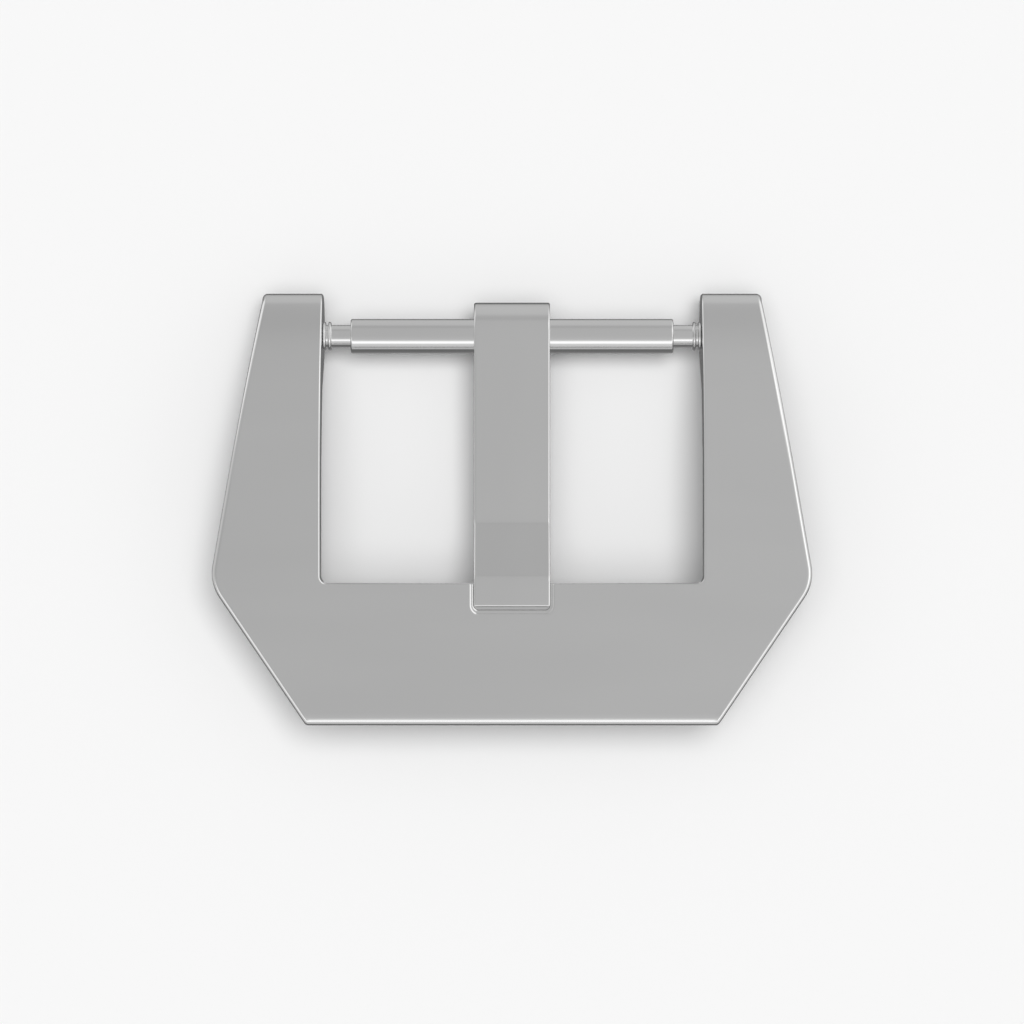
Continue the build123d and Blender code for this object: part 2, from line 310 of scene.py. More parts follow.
# places in plan where the right half's grids meet
halfGap = buckle["lugGap"] / 2
windowY = -buckle["windowDepth"]
cornerX = halfGap - buckle["windowCornerRadius"]
cornerY = windowY + buckle["windowCornerRadius"]
seamX = halfGap + buckle["seamFromWindow"]
seamY = windowY - buckle["seamFromWindow"]
recessX = buckle["recessHalfWidth"] + buckle["recessBorderSide"]
recessY = -buckle["recessEnd"] - buckle["recessBorderEnd"]
pivotX = buckle["recessHalfWidth"] - buckle["recessCorner"]
pivotY = -buckle["recessEnd"] + buckle["recessCorner"]
seamColumns = np.linspace(cornerX, seamX, buckle["cornerColumns"])


def frameSide():
    # the side outline as two runs (y, z, radius) from the front face to the nose: over the top and underneath
    b = buckle
    noseTop = -b["noseBelowAxis"]
    noseLow = noseTop - b["noseStraight"]

    # the arm's top is one arc, from the flat to the rounding of the nose
    across = b["flatEnd"] + frameNose - b["noseTopRadius"]
    down = frameTop - noseTop
    armTopRadius = (across**2 + down**2 - b["noseTopRadius"] ** 2) / (2 * (down - b["noseTopRadius"]))
    noseTurn = np.arcsin(across / (armTopRadius - b["noseTopRadius"]))
    armTopY = -b["flatEnd"] + armTopRadius * np.tan(noseTurn / 2)
    noseZ = frameTop - (frameNose - armTopY) * np.tan(noseTurn)

    # its underside is an arc too, and meets the sloping wall of the boss under the ear
    wall = np.radians(b["bossWallAngle"])
    turn = np.radians(b["armUnderTurn"])
    root = b["bossRootRadius"] * np.tan((wall - turn) / 2)
    wallY = -b["footFront"] - (frameUnder - frameFoot) / np.tan(wall)
    shareAcross = np.cos(turn) - np.sin(turn) / np.tan(wall)
    reach = (wallY + b["flatEnd"] - root * shareAcross) / (1 + shareAcross)
    rootY = -b["flatEnd"] + reach + (reach + root) * np.cos(turn)
    rootZ = frameUnder - (reach + root) * np.sin(turn)

    # the front bar's top turns down a little first and then sharply to the front face
    edgeTurn = np.radians(b["frontTopTurn"])
    edge = b["frontTopRadius"] * np.tan(edgeTurn / 2)
    edge += b["frontEdgeRadius"] * np.tan((np.pi / 2 - edgeTurn) / 2)
    edgeY = frameFront + edge * np.cos(edgeTurn)
    edgeZ = frameTop - edge * np.sin(edgeTurn)
    middle = (edgeZ + frameUnder) / 2
    over = [
        (frameFront, middle, 0),
        (frameFront, edgeZ, b["frontEdgeRadius"]),
        (edgeY, frameTop, b["frontTopRadius"]),
        (armTopY, frameTop, armTopRadius),
        (frameNose, noseZ, b["noseTopRadius"]),
        (frameNose, noseLow, 0),
    ]
    below = [
        (frameFront, middle, 0),
        (frameFront, frameUnder, b["frontLowRadius"]),
        (-b["flatEnd"] + reach, frameUnder, reach / np.tan(turn / 2)),
        (rootY, rootZ, b["bossRootRadius"]),
        (-b["footFront"], frameFoot, b["footCornerRadius"]),
        (frameNose, frameFoot, noseLow - frameFoot),
        (frameNose, noseTop, 0),
    ]
    return over, below


def frameOutline():
    # the outer side of an arm in plan, as a run (y, x, radius) from past the nose to the front face
    b = buckle
    noseLine = frameNose + b["noseCornerPastNose"]
    return [
        (noseLine, halfGap, 0),
        (noseLine, halfGap + b["noseWidth"], b["noseCornerRadius"]),
        (-b["widestFromAxis"], halfGap + b["sideCornerFromWindow"], b["sideCornerRadius"]),
        (frameFront, halfGap + b["frontCornerFromWindow"], 0),
    ]


def rowPlaces(over, below, outline):
    # places from front to nose where the grids have a row: fixed ones where grids meet and where
    # an outline turns upright, and others between them
    b = buckle
    stride = b["arcStride"]
    noseArc = over[over[:, 0] > b["uprightFrom"], 0]
    frontArcs = over[:2 * (b["arcSteps"] + 1), 0]
    fixed = np.concatenate([
        [frameFront, frameNose, cornerY, seamY, recessY, pivotY, -b["earFaceFromAxis"]],
        np.linspace(cornerY, seamY, b["cornerColumns"]),
        np.linspace(pivotY, recessY, b["recessEndRows"]),
        noseArc[::stride],
        frontArcs[::stride],
    ])
    fixed = np.unique(np.round(fixed, 6))
    between = np.concatenate([
        over[::stride, 0],
        below[::stride, 0],
        outline[::stride, 0],
        np.arange(frameFront, frameNose, b["rowSpacing"]),
    ])
    between = np.unique(np.round(between / b["rowPitch"])) * b["rowPitch"]
    apart = np.abs(between[:, None] - fixed).min(axis=1)
    inside = (between > frameFront) & (between < frameNose)
    return np.sort(np.concatenate([between[inside & (apart > b["rowGap"])], fixed]))


def rowAt(y, place):
    # number of the row nearest to a place
    return int(np.abs(y - place).argmin())


def wallLevels():
    # heights down the frame's walls, as shares; those after the first lie at the rounded foot of the recess,
    # and the last three below it
    b = buckle
    rim = b["windowRim"]
    rise = b["recessRoot"] * (1 - np.sin(np.linspace(0, np.pi / 2, b["recessSteps"] + 1)))
    drop = b["recessFloorDrop"] - rise - rim
    return np.concatenate([[0], drop / (b["plateThickness"] - 2 * rim), b["lowWallLevels"]])


def frameRows():
    # the side outline as one loop of points (y, z), over the top, down the nose, back underneath and up
    # the front face, with its normals; out is the outer side's x at each point, with its normals
    b = buckle
    skip = b["arcSteps"] + 1  # the points of a path's first and last corner
    sides = [roundedPath(run, b["arcSteps"]) for run in frameSide()]
    (over, overHeading), (below, belowHeading) = [(p[skip:-skip], h[skip:-skip]) for p, h in sides]
    outline, outlineHeading = [part[skip:] for part in roundedPath(frameOutline(), b["arcSteps"])]
    y = rowPlaces(over, below, outline)
    levels = wallLevels()
    inner = len(levels) - 2

    topZ, topHeading = readAlong(y, over, overHeading)
    lowZ, lowHeading = readAlong(y, below, belowHeading)
    zero = np.zeros_like(y)
    topNormal = np.stack([zero, -np.sin(topHeading), np.cos(topHeading)], axis=1)
    lowNormal = np.stack([zero, np.sin(lowHeading), -np.cos(lowHeading)], axis=1)
    topNormal[0] = lowNormal[0] = (0, -1, 0)
    topNormal[-1] = lowNormal[-1] = (0, 1, 0)
    noseZ = topZ[-1] + (lowZ[-1] - topZ[-1]) * levels[1:-1]
    faceZ = topZ[0] + (lowZ[0] - topZ[0]) * levels[1:-1]
    outX, outTurn = readAlong(y, outline, outlineHeading)  # in (y, x), so a normal is (across, along)
    outAcross = np.abs(np.cos(outTurn))
    outAlong = -np.sin(outTurn) * np.sign(np.cos(outTurn))
    outNormal = np.stack([outAcross, outAlong, zero], axis=1)

    def wholeLoop(topRow, lowRow, noseRow, faceRow):
        return np.concatenate([topRow, noseRow, lowRow[::-1], faceRow[::-1]])

    def ends(row):
        # what the nose and the front face have of a row: its last and its first value
        return np.repeat(row[-1:], inner, axis=0), np.repeat(row[:1], inner, axis=0)

    forward = np.tile([0.0, 1.0, 0.0], (inner, 1))
    return {
        "y": y,
        "levels": levels,
        "top": np.column_stack([y, topZ]),
        "low": np.column_stack([y, lowZ]),
        "face": np.column_stack([np.full(inner, frameFront), faceZ]),
        "loop": np.column_stack([wholeLoop(y, y, *ends(y)), wholeLoop(topZ, lowZ, noseZ, faceZ)]),
        "normal": wholeLoop(topNormal, lowNormal, forward, -forward),
        "out": wholeLoop(outX, outX, *ends(outX)),
        "outNormal": wholeLoop(outNormal, outNormal, *ends(outNormal)),
        "outline": (outline, outlineHeading),
    }


def atX(x, section):
    # a section (y, z) at one x, or with an x for each of its points
    return np.column_stack([np.broadcast_to(x, len(section)), section])


def drawn(columns, section):
    # a section (y, z) at each of the columns x
    x = np.broadcast_to(columns[:, None, None], (len(columns), len(section), 1))
    return np.concatenate([x, np.broadcast_to(section, (len(columns),) + section.shape)], axis=2)


def armGrids(rows):
    # outer part of the arm: its top and its underside from the seam to the outer rim, then the outer wall,
    # which is a straight mix of its upper and lower rows, but follows the outline in x
    b = buckle
    edge = atX(rows["out"], rows["loop"])
    rim = rimRows(edge, rows["normal"], rows["outNormal"], b["outerRim"], b["rimSteps"])
    flat = mixRows(atX(seamX, rows["loop"]), rim[:, 0], b["armShares"])
    arm = np.concatenate([flat, rim[:, 1:]], axis=1)
    arm = np.concatenate([arm, arm[:1]])

    def onOutline(points):
        return readAlong(points[..., 1], *rows["outline"])[0]

    count = len(rows["y"])
    levels = rows["levels"]
    inner = len(levels) - 2
    wallTop = rim[:count, -1]
    wallLow = rim[count + inner:2 * count + inner, -1][::-1]
    wall = mixRows(wallTop, wallLow, levels)
    offTop = wallTop[:, 0] - onOutline(wallTop)
    offLow = wallLow[:, 0] - onOutline(wallLow)
    wall[..., 0] = onOutline(wall) + offTop[:, None] + (offLow - offTop)[:, None] * levels
    return [arm, wall]


def windowSideGrids(rows):
    # inner part of the arm beside the window, its wall as far as the ear, the ear's inner face as rings
    # from its border to the blind hole for the bar's pin, and the hole
    b = buckle
    y = rows["y"]
    levels = rows["levels"]
    inner = len(levels) - 2
    first = rowAt(y, cornerY)
    kept = slice(first, 2 * len(y) + inner - first)
    normal = rows["normal"][kept]
    inward = np.tile([-1.0, 0.0, 0.0], (len(normal), 1))
    rim = rimRows(atX(halfGap, rows["loop"][kept]), normal, inward, b["windowRim"], b["rimSteps"])
    flat = mixRows(atX(seamX, rows["loop"][kept]), rim[:, 0], b["seamShares"])
    arm = np.concatenate([flat, rim[:, 1:]], axis=1)
    foot = rim[:, -1]
    count = len(y) - first
    wallTop = foot[:count]
    wallLow = foot[count + inner:][::-1]
    ear = rowAt(y, -b["earFaceFromAxis"]) - first
    wall = mixRows(wallTop[:ear + 1], wallLow[:ear + 1], levels)

    border = np.concatenate([
        wallTop[ear:],
        foot[count:count + inner],
        wallLow[ear:][::-1],
        wall[ear, 1:-1][::-1],
        wallTop[ear:ear + 1],
    ])
    around = np.arctan2(border[:, 2], border[:, 1])
    circle = np.stack([np.full_like(around, halfGap), np.cos(around), np.sin(around)], axis=1)
    mouth = circle * [1, b["earHoleRadius"], b["earHoleRadius"]]
    bottom = mouth + [b["earHoleDepth"], 0, 0]
    middle = np.tile([halfGap + b["earHoleDepth"], 0, 0], (len(circle), 1))
    face = mixRows(border, mouth, b["earShares"])
    hole = mixRows(mouth, bottom, b["holeWallShares"])
    return [arm, wall, face, hole, mixRows(bottom, middle, b["holeEndShares"])]


def windowCornerGrids(rows):
    # the window's corner: rays from the rows and columns of the seam in to the corner's arc, on the top
    # and the underside, and its wall
    b = buckle
    y = rows["y"]
    seamRows = y[rowAt(y, seamY):rowAt(y, cornerY) + 1][::-1]
    border = np.concatenate([
        np.stack([np.full(len(seamRows), seamX), seamRows], axis=1),
        np.stack([seamColumns[::-1][1:], np.full(len(seamColumns) - 1, seamY)], axis=1),
    ])
    ray = border - [cornerX, cornerY]
    ray /= np.linalg.norm(ray, axis=1, keepdims=True)
    arc = np.array([cornerX, cornerY]) + b["windowCornerRadius"] * ray
    grids = []
    feet = []
    for height, up in ((frameTop, 1.0), (frameUnder, -1.0)):
        level = np.full((len(ray), 1), height)
        faceNormal = np.tile([0.0, 0.0, up], (len(ray), 1))
        wallNormal = np.hstack([-ray, 0 * level])
        rim = rimRows(np.hstack([arc, level]), faceNormal, wallNormal, b["windowRim"], b["rimSteps"])
        flat = mixRows(np.hstack([border, level]), rim[:, 0], b["seamShares"])
        grids.append(np.concatenate([flat, rim[:, 1:]], axis=1))
        feet.append(rim[:, -1])
    return grids + [mixRows(*feet, rows["levels"])]


def windowEdge(levels):
    # the front bar's window edge as a section (y, z), and which of its points lies on the recess's floor
    b = buckle
    rim = b["windowRim"]
    turn = np.linspace(0, np.pi / 2, b["rimSteps"] + 1)
    rimY = windowY - rim + rim * np.sin(turn)
    rimDrop = rim - rim * np.cos(turn)
    flatY = seamY + (windowY - rim - seamY) * np.array(b["seamShares"][:-1])
    wallZ = frameTop - rim + (frameUnder - frameTop + 2 * rim) * levels[1:-1]
    y = np.concatenate([flatY, rimY, np.full(len(wallZ), windowY), rimY[::-1], flatY[::-1]])
    z = np.concatenate([
        np.full(len(flatY), frameTop),
        frameTop - rimDrop,
        wallZ,
        (frameUnder + rimDrop)[::-1],
        np.full(len(flatY), frameUnder),
    ])
    return np.stack([y, z], axis=1), len(flatY) + len(rimY) + b["recessSteps"]


def recessProfile():
    # from the flat over a narrow step with two bevelled edges to the floor, as points (inwards, z)
    b = buckle
    shelf = b["recessShelf"]
    bevel = b["recessEdge"]
    corners = [
        (-recessX, frameTop, 0),
        (-shelf - bevel, frameTop, b["recessEdgeRadius"]),
        (-shelf, frameTop - bevel, 0),
        (-shelf, recessShelfZ, b["recessRoot"]),
        (-bevel, recessShelfZ, b["recessEdgeRadius"]),
        (0, recessShelfZ - bevel, 0),
        (0, recessFloorZ, b["recessRoot"]),
        (recessX, recessFloorZ, 0),
    ]
    skip = b["recessSteps"] + 1
    return roundedPath(corners, b["recessSteps"])[0][skip:-skip]


def recessGrid(border, borderShares, floorShares):
    # rays from the border over the narrow step, down the wall and round its root to the floor:
    # point = wall's place in plan - away * inwards, where away points from the corner's pivot to the border;
    # over the window's rim the step drops as the rim does, and a ray that starts lower keeps its height
    b = buckle
    profile = recessProfile()
    away = np.maximum(border[:, :2] * [1, -1] - [pivotX, -pivotY], 0)
    away = away / np.linalg.norm(away, axis=1, keepdims=True) * [1, -1]
    foot = np.column_stack([np.minimum(border[:, 0], pivotX), np.maximum(border[:, 1], pivotY)])
    foot = foot + away * b["recessCorner"]
    height = border[:, 2:3]
    wallFoot = recessFloorZ + b["recessRoot"]
    wallTop = recessShelfZ - b["recessEdge"]
    follow = np.clip((profile[:, 1] - wallFoot) / (wallTop - wallFoot), 0, 1)
    drop = np.maximum(height - frameTop, -b["windowRim"])
    wallHeight = np.minimum(profile[:, 1] + drop * follow, height)
    inward = np.where(height > recessFloorZ + mergeWithin, profile[:, 0], b["recessRoot"])[..., None]
    shelfAway = away * [1, b["recessShelfStretch"]]
    plan = foot[:, None] - away[:, None] * np.maximum(inward, 0) - shelfAway[:, None] * np.minimum(inward, 0)
    wall = np.concatenate([plan, wallHeight[..., None]], axis=2)
    middle = np.tile([0, windowY, recessFloorZ], (len(border), 1))
    floor = mixRows(middle, wall[:, -1], floorShares[::-1])
    return np.concatenate([mixRows(border, wall[:, 0], borderShares), wall, floor], axis=1)


def frontBarGrids(rows):
    # the front bar as sections drawn along X: its window edge, then over the top, down the front face and
    # back underneath, beside the recess and across it; then the recess
    b = buckle
    floorEnd = b["recessHalfWidth"] - b["recessRoot"]
    floorShares = np.sort([*b["recessFloorShares"], pivotX / floorEnd])  # with one at the corner's pivot
    borderShares = np.array(b["recessBorderShares"])
    borderColumns = recessX + (floorEnd - recessX) * borderShares
    recessColumns = np.concatenate([floorEnd * floorShares, borderColumns[::-1]])
    barColumns = np.linspace(recessX, cornerX, b["barColumns"])
    wideColumns = np.concatenate([barColumns, seamColumns[1:]])

    edge, floorPlace = windowEdge(rows["levels"])
    seamRow = rowAt(rows["y"], seamY)
    backRow = rowAt(rows["y"], recessY)
    back = np.concatenate([rows["face"], rows["low"][:seamRow + 1]])
    grids = [
        drawn(barColumns, edge),
        drawn(recessColumns, edge[floorPlace:]),
        drawn(wideColumns, np.concatenate([rows["top"][:seamRow + 1][::-1], back])),
        drawn(recessColumns, np.concatenate([rows["top"][:backRow + 1][::-1], back])),
    ]
    beside = np.concatenate([edge[:floorPlace + 1][::-1], rows["top"][backRow:seamRow][::-1]])
    behind = recessColumns[::-1][1:]
    behind = atX(behind, np.tile([recessY, frameTop], (len(behind), 1)))
    border = np.concatenate([atX(recessX, beside), behind])
    return grids + [recessGrid(border, borderShares, floorShares)]


def frameGrids():
    # the right half, and its mirror image with every x turned about
    rows = frameRows()
    right = armGrids(rows) + windowSideGrids(rows) + windowCornerGrids(rows) + frontBarGrids(rows)
    return right + [grid * [-1, 1, 1] for grid in right]


frameSteel = steelMaterial("frameSteel")
framePiece = makePiece("frame_body", frameGrids(), frameSteel)
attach(framePiece, "frame")
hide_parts("buckle_frame")
print("frame done")


# tang: a strip that steps down from the front bar and rolls round the strap bar

tangStrip = {
    "width": 4.4,
    "thickness": 0.9,
    "edgeRadius": 0.11,
    "tipFromAxis": 15.65,
    "highBend": 14.34,  # on the underside, from the axis
    "stepRun": 3.38,
    "highBendRadius": 0.1,  # inside of the bend
    "lowBendRadius": 0.93,
    "loopBore": 1.05,
    "seam": 0.1,
    "edgeSteps": 8,
    "bendSteps": 14,
    "loopSteps": 96,
    "supportGap": 0.04,
    "lineSupportGap": 0.2,
}


def tangLine(high):
    # the strip's middle line in (y, z), from its tip down the step and round the bar, and its heading there
    t = tangStrip
    half = t["thickness"] / 2
    loopRadius = t["loopBore"] + half
    tipZ = high[2] - half
    rise = tipZ - loopRadius
    shift = half * np.tan(np.arctan2(rise, t["stepRun"]) / 2)
    edge = t["edgeRadius"]
    corners = [
        (-t["tipFromAxis"] + edge, tipZ, 0),
        (-t["highBend"] + shift, tipZ, t["highBendRadius"] + half),
        (-t["highBend"] + t["stepRun"] + shift, loopRadius, t["lowBendRadius"] + half),
        (0, loopRadius, 0),
    ]
    line, heading = roundedPath(corners, t["bendSteps"])
    keep = slice(t["bendSteps"], -t["bendSteps"])
    line, heading = line[keep], heading[keep]
    endAngle = -np.pi - np.arcsin((t["loopBore"] - t["seam"]) / (loopRadius + half)) + edge / loopRadius
    turn = np.linspace(np.pi / 2, endAngle, t["loopSteps"] + 1)[1:]
    loop = loopRadius * np.stack([np.cos(turn), np.sin(turn)], axis=1)
    line = np.concatenate([line, loop])
    heading = np.concatenate([heading, turn - np.pi / 2])
    return withSupports(line, heading, t["lineSupportGap"], closed=False)


def tangGrid(high):
    # section = rounded oblong in (x, out of the strip), carried along the strip's middle line;
    # point = middle + out * normal, and at both ends the section draws in as a quarter circle
    t = tangStrip
    edge = t["edgeRadius"]
    half = t["thickness"] / 2
    side = t["width"] / 2
    line, heading = tangLine(high)
    oblong = [(side, half, edge), (-side, half, edge), (-side, -half, edge), (side, -half, edge)]
    section, way = roundedPath(oblong, t["edgeSteps"], closed=True)
    section, way = withSupports(section, way, t["supportGap"], closed=True)
    section = np.concatenate([section, section[:1]])
    way = np.concatenate([way, way[:1]])
    outward = np.stack([np.sin(way), -np.cos(way)], axis=1)

    # the two ends: rings that move on by edge * sin and draw in by edge * (1 - cos), then a flat end face
    swing = np.linspace(0, np.pi / 2, t["edgeSteps"] + 1)[1:]
    onward = np.concatenate([edge * np.sin(swing), [edge]])
    inset = np.concatenate([edge * (1 - np.cos(swing)), [edge]])
    size = np.concatenate([np.ones(len(swing)), [0]])
    forward = np.stack([np.cos(heading), np.sin(heading)], axis=1)
    lineAll = np.concatenate([
        line[0] - onward[::-1, None] * forward[0],
        line,
        line[-1] + onward[:, None] * forward[-1],
    ])
    endRings = np.ones(len(onward))
    headingAll = np.concatenate([endRings * heading[0], heading, endRings * heading[-1]])
    insetAll = np.concatenate([inset[::-1], np.zeros(len(line)), inset])
    sizeAll = np.concatenate([size[::-1], np.ones(len(line)), size])
    rings = (section - insetAll[:, None, None] * outward) * sizeAll[:, None, None]
    normal = np.stack([-np.sin(headingAll), np.cos(headingAll)], axis=1)
    place = lineAll[:, None] + rings[..., 1:2] * normal[:, None]
    return np.concatenate([rings[..., :1], place], axis=2)


tangSteel = steelMaterial("tangSteel")
tangPiece = makePiece("tang_strip", [tangGrid(nodeBox("tang")[1])], tangSteel)
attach(tangPiece, "tang")
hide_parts("tang")
print("tang done")


# strap bar: a tube with crimped ends, two flanged pins and the spring between them

strapBar = {
    "radius": 1.0,
    "halfLength": 9.365,
    "wall": 0.2,
    "endRadius": 0.1,
    "lipLength": 0.35,
    "lipRadius": 0.69,
    "lipEdge": 0.04,
    "roundSteps": 96,
    "arcSteps": 6,
    "supportGap": 0.04,
}

barPin = {
    "headInner": 8.395,  # this and all places along the bar are from its middle
    "headOuter": 8.995,
    "headRadius": 0.77,
    "shankRadius": 0.65,
    "flangeRadius": 0.835,
    "flangeWidth": 0.17,
    "flangeSpacing": 0.14,
    "flangeFromEar": 0.02,
    "flangeEdge": 0.075,
    "rootEdge": 0.03,
    "nibRadius": 0.55,
    "nibEnd": 11.9,
    "nibEdge": 0.15,
}

barSpring = {
    "middleRadius": 0.6,
    "wireRadius": 0.1,
    "endAlong": 8.265,
    "turns": 24,
    "turnSteps": 28,
    "wireSteps": 12,
    "travel": 1.1,
}


def turnedGrid(profile, closed):
    # a profile (along, out) turned about the X axis: point = (along, out * sin, out * cos)
    b = strapBar
    points, heading = roundedPath(profile, b["arcSteps"], closed)
    points, heading = withSupports(points, heading, b["supportGap"], closed)
    if closed:
        points = np.concatenate([points, points[:1]])
    turn = np.linspace(0, 2 * np.pi, b["roundSteps"] + 1)
    along = np.broadcast_to(points[:, :1], (len(points), len(turn)))
    out = points[:, 1:2]
    return np.stack([along, out * np.sin(turn), out * np.cos(turn)], axis=2)


def tubeGrid():
    # profile = bore, crimped lip and outer wall of the right end, then the same of the left end
    b = strapBar
    bore = b["radius"] - b["wall"]
    boreEnd = b["halfLength"] - b["lipLength"]
    right = [
        (boreEnd, bore, 0),
        (boreEnd, b["lipRadius"], b["lipEdge"]),
        (b["halfLength"], b["lipRadius"], b["lipEdge"]),
        (b["halfLength"], b["radius"], b["endRadius"]),
    ]
    left = [(-along, out, radius) for along, out, radius in reversed(right)]
    return turnedGrid(right + left, True)


def pinGrid(side):
    # profile = head inside the tube, shank with two flanges and nib; side is 1 for the right pin
    p = barPin
    outer = halfGap - p["flangeFromEar"]
    profile = [(p["headInner"], 0, 0), (p["headInner"], p["headRadius"], p["rootEdge"])]
    profile += [(p["headOuter"], p["headRadius"], p["rootEdge"]), (p["headOuter"], p["shankRadius"], 0)]
    for place in (outer - p["flangeWidth"] - p["flangeSpacing"], outer):
        profile.append((place - p["flangeWidth"], p["shankRadius"], p["rootEdge"]))
        profile.append((place - p["flangeWidth"], p["flangeRadius"], p["flangeEdge"]))
        profile.append((place, p["flangeRadius"], p["flangeEdge"]))
        profile.append((place, p["shankRadius"] if place < outer else p["nibRadius"], p["rootEdge"]))
    profile += [(p["nibEnd"], p["nibRadius"], p["nibEdge"]), (p["nibEnd"], 0, 0)]
    return turnedGrid(profile, False) * [side, 1, 1]


def springGrid(side):
    # half of the coil, from the middle of the bar to one pin: a ring of wire carried along a helix,
    # middle = (along, radius * cos, radius * sin), ring = middle + wire * (cos * outwards + sin * across)
    s = barSpring
    rows = s["turns"] * s["turnSteps"] // 2 + 1
    share = np.linspace(0, 1, rows)
    turn = side * share * np.pi * s["turns"] + np.pi * s["turns"]
    along = side * share * s["endAlong"]
    pitch = s["endAlong"] / (np.pi * s["turns"])
    zero = np.zeros_like(turn)
    middle = np.stack([along, s["middleRadius"] * np.cos(turn), s["middleRadius"] * np.sin(turn)], axis=1)
    outwards = np.stack([zero, np.cos(turn), np.sin(turn)], axis=1)
    forward = [zero + pitch, -s["middleRadius"] * np.sin(turn), s["middleRadius"] * np.cos(turn)]
    forward = np.stack(forward, axis=1)
    forward /= np.linalg.norm(forward, axis=1, keepdims=True)
    across = np.cross(forward, outwards)
    ring = np.linspace(0, 2 * np.pi, s["wireSteps"] + 1)[:, None]
    wire = np.cos(ring) * outwards[:, None] + np.sin(ring) * across[:, None]
    coil = middle[:, None] + s["wireRadius"] * wire
    ends = [np.broadcast_to(middle[place], (1,) + coil.shape[1:]) for place in (0, -1)]
    return np.concatenate([ends[0], coil, ends[1]])


barSteel = steelMaterial("barSteel")
pinSteel = steelMaterial("pinSteel")
springSteel = steelMaterial("springSteel")

tubePiece = makePiece("bar_sleeve", [tubeGrid()], barSteel)
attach(tubePiece, "spring_bar")
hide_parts("bar_tube")

for sideName, side in (("left", -1), ("right", 1)):
    pinPiece = makePiece(sideName + "_bar_pin", [pinGrid(side)], pinSteel)
    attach(pinPiece, sideName + "_pin")
    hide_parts(sideName + "_pin")
    springPiece = makePiece(sideName + "_spring_half", [springGrid(side)], springSteel)
    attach(springPiece, "spring_bar")
    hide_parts("bar_spring")
    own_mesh(springPiece)
print("strap bar done")


# stage: pale floor, soft light and a camera straight above

stage = {
    "floorSize": 3000.0,
    "floorColour": 0.86,
    "floorRoughness": 0.9,
    "floorSpecular": 0.1,
    "floorBelowFeet": 0.02,
    "cameraY": -10.22,
    "cameraAbove": 265.0,  # above the top face
    "lens": 162.8,
    "sensor": 36.0,
    "clipStart": 1.0,
    "clipEnd": 100000.0,
}

# brightness of the room that the steel shows, for its sides and its rear corners,
# as pairs of the angle from straight up in degrees and the level there
room = {
    "back": [
        (0, 0.565), (48, 0.558), (52, 0.552), (56, 0.53), (60, 0.503), (64, 0.508), (68, 0.522), (72, 0.55),
        (76, 0.58), (80, 0.62), (94, 0.64), (116, 0.64), (130, 0.60), (141, 0.42), (149, 0.15), (166, 0.11),
        (173, 0.60), (180, 0.65),
    ],
    "front": [
        (0, 0.565), (3.5, 0.565), (6, 0.58), (12, 0.595), (20, 0.605), (27, 0.64), (32, 0.77), (36, 1.08),
        (40, 1.45), (49, 1.45), (54, 1.05), (59, 0.75), (66, 0.74), (78, 0.82), (88, 0.74), (96, 0.50),
        (101, 0.27), (108, 0.17), (125, 0.17), (150, 0.26), (180, 0.28),
    ],
    "right": [
        (0, 0.565), (10, 0.60), (20, 0.66), (24, 0.72), (30, 1.0), (38, 1.45), (58, 1.35), (68, 1.1),
        (80, 0.85), (100, 0.65), (130, 0.50), (150, 0.25), (160, 0.16), (180, 0.15),
    ],
    "left": [
        (0, 0.565), (14, 0.52), (36, 0.52), (46, 0.62), (60, 0.72), (84, 0.74), (100, 0.70),
        (130, 0.55), (146, 0.20), (160, 0.15), (180, 0.15),
    ],
    "rearRight": [
        (0, 0.565), (20, 0.62), (30, 0.80), (38, 1.10), (50, 1.38), (60, 1.35), (72, 1.15), (80, 1.08),
        (105, 1.08), (120, 0.70), (150, 0.20), (180, 0.15),
    ],
    "rearLeft": [
        (0, 0.565), (40, 0.56), (60, 0.62), (72, 0.80), (80, 1.15), (105, 1.15), (120, 0.60), (150, 0.15),
        (180, 0.15),
    ],
    # the way to each in plan, and the cosines of the turn from it where it begins and where it is whole
    "facing": {
        "right": ((1, 0), (0.35, 0.80)),
        "left": ((-1, 0), (0.35, 0.80)),
        "front": ((0, -1), (0.05, 0.50)),
        "rearRight": ((0.707, 0.707), (0.86, 0.97)),
        "rearLeft": ((-0.707, 0.707), (0.86, 0.97)),
    },
    "acrossReach": 0.12,  # near straight up the room grows brighter from left to right
    "acrossLevels": (0.96, 1.07),
    "floorShare": 0.35,  # of this light, what the floor gets by way of the steel
}

# lamps that only the floor answers to: soft discs of light in the direction of aim, spread degrees across
lamps = {
    "right": {"aim": (0.101, 0.120, 0.988), "spread": 20, "power": 1.090},
    "top": {"aim": (0.0, 0.0, 1.0), "spread": 40, "power": 1.178},
    "front": {"aim": (0.0, -0.259, 0.966), "spread": 110, "power": 0.423},
    "sky": {"aim": (0.0, 0.0, 1.0), "spread": 170, "power": 0.762},
}


def floorPiece():
    # one flat face just under the buckle's feet
    half = stage["floorSize"] / 2
    line = np.array([-half, half])
    x, y = np.meshgrid(line, line, indexing="ij")
    grid = np.stack([x, y, np.full_like(x, frameFoot - stage["floorBelowFeet"])], axis=2)
    material = bpy.data.materials.new("floorPaper")
    material.use_nodes = True
    shader = material.node_tree.nodes["Principled BSDF"]
    grey = stage["floorColour"]
    shader.inputs["Base Color"].default_value = (grey, grey, grey, 1)
    shader.inputs["Roughness"].default_value = stage["floorRoughness"]
    shader.inputs["Specular IOR Level"].default_value = stage["floorSpecular"]
    mesh = bpy.data.meshes.new("floor")
    mesh.from_pydata(grid.reshape(-1, 3) * mm, [], gridFaces(2, 2, 0)[:, ::-1])
    mesh.materials.append(material)
    floor = bpy.data.objects.new("floor", mesh)
    bpy.context.scene.collection.objects.link(floor)
    floor.visible_glossy = False


